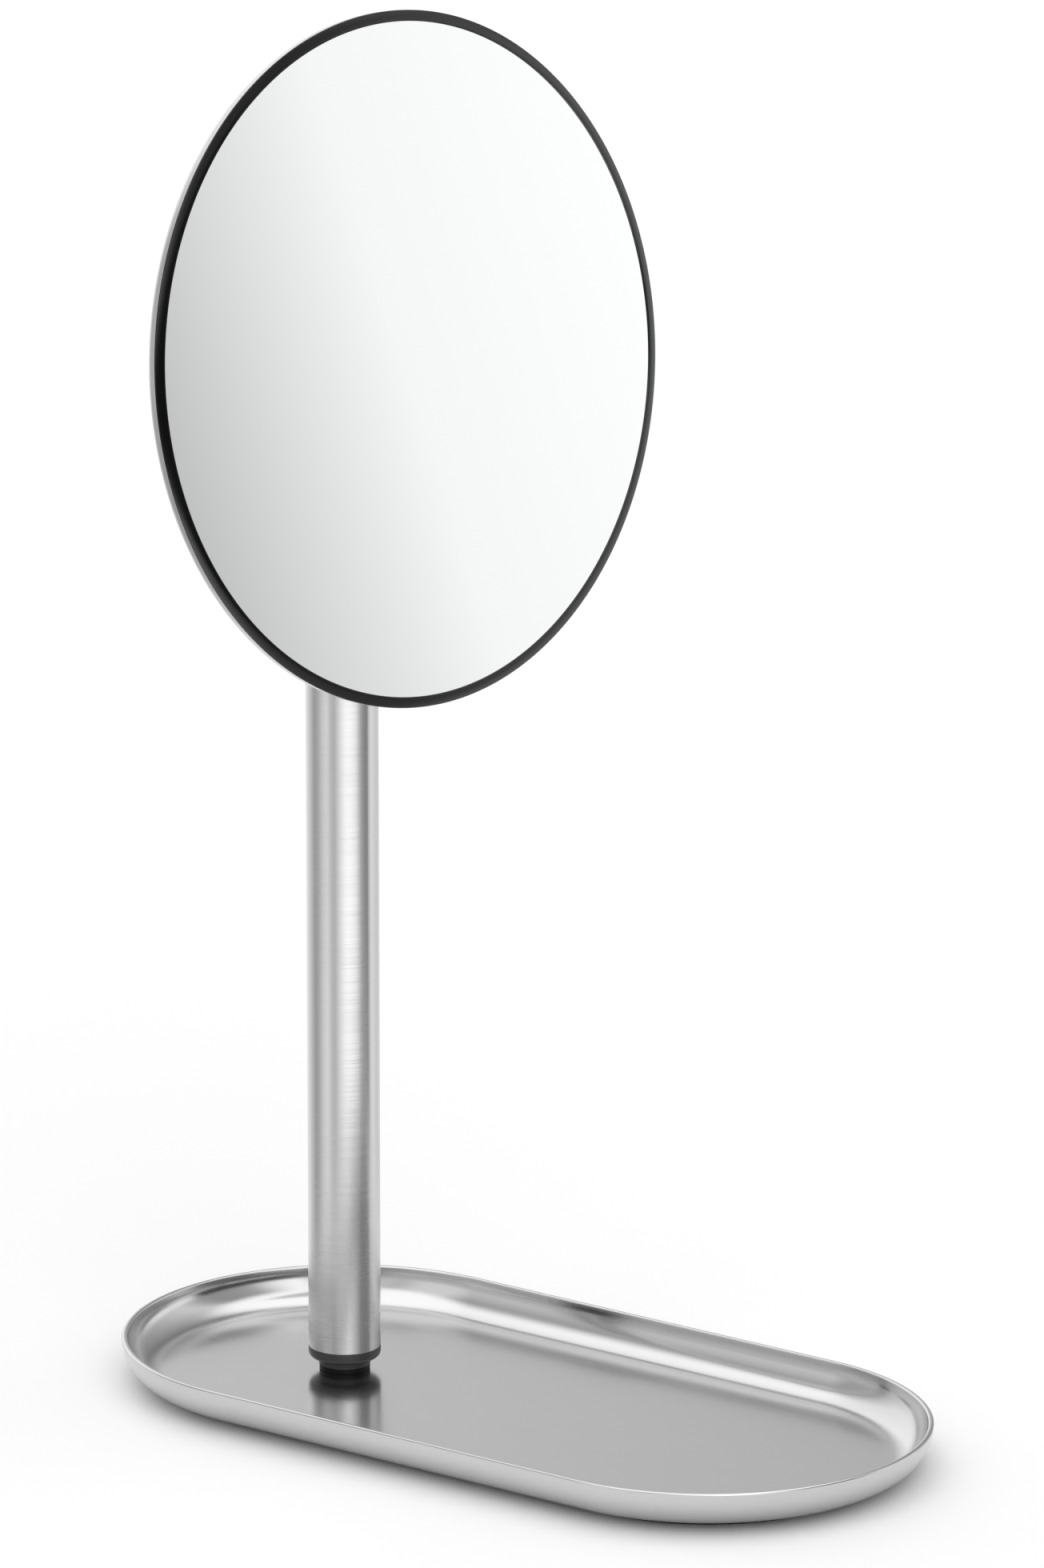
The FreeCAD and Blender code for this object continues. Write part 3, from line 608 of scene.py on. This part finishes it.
def buildHingeBolt(b):
    end = b["seat"] + b["headHeight"]
    shoulderRadius, shoulderDrop = b["shoulder"]
    outline = [(0, b["end"]), (b["thread"] - b["tip"], b["end"]), (b["thread"], b["end"] - b["tip"]),
               (b["thread"], -b["seat"]), (b["headRadius"], -b["seat"]),
               (b["headRadius"], -b["seat"] - b["rim"]), (shoulderRadius, -b["seat"] - shoulderDrop),
               (b["crown"], -end), (0, -end)]
    bm = spinOutline(outline, closed=False, steps=72)
    roundEdges(bm, b["edge"], minAngle=28)
    bm = carve(bm, hexPrism(b["socketFlats"], -end - 1, -end + b["socketDepth"]))
    finishPiece(bm, "hinge_button_bolt", "mirror_head", [zincSteel],
                ["hinge_bolt"], atHead @ ontoHinge)


def buildHingeNut(n):
    top = n["seat"] + n["height"]
    nut = hexPrism(n["flats"], n["seat"], top - n["collar"])
    roundEdges(nut, n["edge"], minAngle=50)
    low = top - n["collar"] - n["edge"]
    bore = n["ringRadius"] - n["edge"]
    crown = arcPoints(n["collarRadius"] - n["collarRound"], top - n["collarRound"], n["collarRound"], 0,
                      90, 5)
    joinInto(nut, spinOutline([(bore, low), (n["collarRadius"], low)] + crown + [(bore, top)],
                              steps=64))
    firstRingFace = len(nut.faces)
    sunk = top - n["ringSunk"]
    joinInto(nut, spinOutline([(n["ringBore"], low), (n["ringRadius"], low), (n["ringRadius"], sunk),
                               (n["ringBore"], sunk)], steps=48))
    nut.faces.ensure_lookup_table()
    for face in nut.faces[firstRingFace:]:
        face.material_index = 1
    finishPiece(nut, "hinge_lock_nut", "mirror_head", [zincSteel, blueNylon],
                ["hinge_nut", "hinge_nut_insert"], atHead @ ontoHinge)


# M3 pan-head screws with a cross recess, from behind through plate and shell
panScrew = {"thread": 1.5, "length": 5.8, "headRadius": 2.8, "crown": [(1.4, 1.68), (2.3, 1.3)],
            "rim": 0.8, "headHeight": 1.8, "recessArm": 3.08, "recessWidth": 0.8, "recessDepth": 1.0,
            "edge": 0.12, "place": (14.5, 7.5)}


def buildPanScrews(s, back):
    crown = [(radius, back - height) for radius, height in s["crown"]]
    outline = [(0, back - s["headHeight"])] + crown + [
        (s["headRadius"], back - s["rim"]), (s["headRadius"], back), (s["thread"], back),
        (s["thread"], back + s["length"]), (0, back + s["length"])]
    x, y = s["place"]
    recessFoot = back - s["headHeight"] + s["recessDepth"]
    allScrews = bmesh.new()
    for sx, sy in ((-1, -1), (-1, 1), (1, -1), (1, 1)):
        screw = spinOutline(outline, closed=False, steps=48)
        roundEdges(screw, s["edge"], minAngle=50)
        for arms in ((s["recessArm"], s["recessWidth"]), (s["recessWidth"], s["recessArm"])):
            slot = bmesh.new()
            size = Matrix.Diagonal((arms[0] * mm, arms[1] * mm, 2 * s["recessDepth"] * mm, 1))
            middle = Matrix.Translation((0, 0, (recessFoot - s["recessDepth"]) * mm))
            bmesh.ops.create_cube(slot, size=1, matrix=middle @ size)
            screw = carve(screw, slot)
        joinInto(allScrews, screw, Matrix.Translation((sx * x * mm, sy * y * mm, 0)))
    finishPiece(allScrews, "bracket_pan_screws", "mirror_head", [zincSteel],
                ["bracket_screws"], atHead)


print("hinge")
buildBracket(bracket, levels["back"])
buildHingeBolt(hingeBolt)
finishPiece(washerPair(steelWasher), "hinge_flat_washers", "mirror_head",
            [zincSteel], ["hinge_washers"], atHead @ ontoHinge)
buildHingeNut(hingeNut)
buildPanScrews(panScrew, levels["back"] - bracket["plateThickness"])

# CAD nodes inside the neck, under the tray and behind the glass keep their shape and get their finish
keptNodes = {
    "anti_slip_pad": evaFoam, "swivel_bolt": zincSteel, "swivel_spring": zincSteel,
    "swivel_washer": zincSteel, "swivel_nut": zincSteel, "swivel_nut_insert": blueNylon,
    "backing_plate": greyAbs, "adhesive_pads": foamTape, "silver_backing": mirrorSilver,
}
for nodeName, finish in keptNodes.items():
    nodeMesh = frame["nodes"][nodeName].data
    nodeMesh.materials.clear()
    nodeMesh.materials.append(finish)

view = {"turn": -53.45, "height": 15.93, "distance": 3000.0, "aside": 44.19, "level": 154.1,
        "lens": 186.7, "sensorHeight": 24.0}


def buildCamera(v):
    turn, lift = math.radians(v["turn"]), math.radians(v["height"])
    right = Vector((math.cos(turn), math.sin(turn), 0))
    back = Vector((math.sin(turn) * math.cos(lift), -math.cos(turn) * math.cos(lift), math.sin(lift)))
    target = Vector((swivelFoot.x, swivelFoot.y, v["level"] * mm)) + right * v["aside"] * mm
    data = bpy.data.cameras.new("camera")
    data.sensor_fit = "VERTICAL"
    data.sensor_height = v["sensorHeight"]
    data.lens = v["lens"]
    data.clip_end = 50.0
    camera = bpy.data.objects.new("camera", data)
    bpy.context.scene.collection.objects.link(camera)
    camera.matrix_world = axesMatrix(right, back.cross(right), back, target + back * v["distance"] * mm)
    bpy.context.scene.camera = camera


# White paper under and round the object; only its middle shows in the metal
sweep = {"radius": 2.6, "nearRadius": 0.155, "color": "F2F2F2"}


def buildFloor(s):
    paper, _, _ = newMaterial("matt white paper sweep", s["color"], 0.0, 0.9,
                              {"Specular IOR Level": 0.1})
    near, far = bmesh.new(), bmesh.new()
    bmesh.ops.create_circle(near, cap_ends=True, segments=96, radius=s["nearRadius"])
    for radius in (s["nearRadius"], s["radius"]):
        bmesh.ops.create_circle(far, cap_ends=False, segments=96, radius=radius)
    bmesh.ops.bridge_loops(far, edges=far.edges)
    bmesh.ops.recalc_face_normals(far, faces=far.faces)
    for name, bm in (("floor_near", near), ("floor_far", far)):
        mesh = bpy.data.meshes.new(name)
        bm.to_mesh(mesh)
        bm.free()
        mesh.materials.append(paper)
        floor = bpy.data.objects.new(name, mesh)
        bpy.context.scene.collection.objects.link(floor)
        floor.visible_glossy = name == "floor_near"


# Soft studio light: brightness in rings, by degrees from the camera's side towards its right
surround = {
    "below": [(-180, 1.0), (-148, 1.1), (-117, 0.8), (-97, 0.45), (-82, 0.65), (-63, 1.15), (-49, 1.3),
              (-36, 0.85), (-24, 0.75), (-10, 1.35), (2, 1.9), (15, 2.3), (30, 2.4), (45, 2.0),
              (59, 1.05), (69, 0.65), (87, 0.4), (104, 1.15), (127, 0.9), (180, 1.0)],
    "horizon": [(-180, 0.8), (-165, 1.25), (-135, 1.2), (-105, 0.65), (-60, 0.68), (-25, 0.6),
                (10, 0.5), (32, 0.08), (84, 0.05), (86.5, 0.32), (87.4, 0.54), (87.9, 0.8),
                (88.4, 0.96), (88.9, 1.02), (89.6, 1.06), (95, 1.2), (120, 1.2), (145, 0.5),
                (168, 0.42), (180, 0.8)],
    "above": [(-180, 0.7), (-164, 1.35), (-125, 1.2), (-105, 0.6), (-85, 0.5), (-66, 1.0), (-45, 1.0),
              (-30, 0.7), (-8, 1.3), (15, 2.2), (40, 1.3), (55, 0.5), (84, 0.4), (100, 1.0), (130, 0.6),
              (165, 0.26), (180, 0.7)],
    "top": 1.6, "backdrop": 1.25, "cardLean": 0.09,
    # elevations between which one ring gives way to the next
    "toHorizon": (-14, -9), "toAbove": (9, 18), "toTop": (45, 62),
}


def ringRamp(tree, turned, stops):
    # brightness round one ring; turned holds the direction's X, towards the camera's side, and Y
    angle = addNode(tree, "ShaderNodeMath", {"operation": "ARCTAN2"}, {0: turned[1], 1: turned[0]})
    share = addNode(tree, "ShaderNodeMapRange", {"From Min": -math.pi, "From Max": math.pi},
                    {"Value": angle.outputs[0]})
    ramp = addNode(tree, "ShaderNodeValToRGB", {}, {"Fac": share.outputs[0]})
    elements = ramp.color_ramp.elements
    while len(elements) < len(stops):
        elements.new(0.5)
    for element, (degrees, level) in zip(elements, stops):
        element.position = (degrees + 180) / 360
        element.color = (level, level, level, 1)
    return ramp.outputs["Color"]


def blendUp(tree, height, elevations, lower, upper):
    # eases from one ring to the next
    low, high = (math.sin(math.radians(degrees)) for degrees in elevations)
    share = addNode(tree, "ShaderNodeMapRange",
                    {"interpolation_type": "SMOOTHSTEP", "From Min": low, "From Max": high},
                    {"Value": height})
    mixed = addNode(tree, "ShaderNodeMix", {"data_type": "RGBA"},
                    {0: share.outputs[0], 6: lower, 7: upper})
    return mixed.outputs[2]


def buildSurround(s, v):
    world = bpy.data.worlds.new("studio")
    bpy.context.scene.world = world
    world.use_nodes = True
    tree = world.node_tree
    tree.nodes.clear()
    direction = addNode(tree, "ShaderNodeTexCoord").outputs["Generated"]
    # turned so that the camera's side is +X
    turned = addNode(tree, "ShaderNodeVectorRotate",
                     {"rotation_type": "Z_AXIS", "Angle": math.radians(90 - v["turn"])},
                     {"Vector": direction})
    parts = addNode(tree, "ShaderNodeSeparateXYZ", {}, {0: turned.outputs[0]})
    x, y, z = parts.outputs
    leaned = addNode(tree, "ShaderNodeMath", {"operation": "MULTIPLY_ADD", 1: -s["cardLean"]},
                     {0: z, 2: x})
    below = ringRamp(tree, (x, y), s["below"])
    horizon = ringRamp(tree, (leaned.outputs[0], y), s["horizon"])
    above = ringRamp(tree, (x, y), s["above"])
    top = addNode(tree, "ShaderNodeRGB")
    top.outputs[0].default_value = (s["top"], s["top"], s["top"], 1)
    light = blendUp(tree, z, s["toHorizon"], below, horizon)
    light = blendUp(tree, z, s["toAbove"], light, above)
    light = blendUp(tree, z, s["toTop"], light, top.outputs[0])
    studio = addNode(tree, "ShaderNodeBackground", {}, {"Color": light})
    plain = addNode(tree, "ShaderNodeBackground", {"Strength": s["backdrop"]})
    plain.inputs["Color"].default_value = (1, 1, 1, 1)
    seen = addNode(tree, "ShaderNodeLightPath")
    both = addNode(tree, "ShaderNodeMixShader", {}, {0: seen.outputs["Is Camera Ray"],
                                                     1: studio.outputs[0],
                                                     2: plain.outputs[0]})
    addNode(tree, "ShaderNodeOutputWorld", {}, {0: both.outputs[0]})


print("stage")
buildFloor(sweep)
buildSurround(surround, view)
buildCamera(view)
bpy.context.scene.view_settings.view_transform = "Standard"
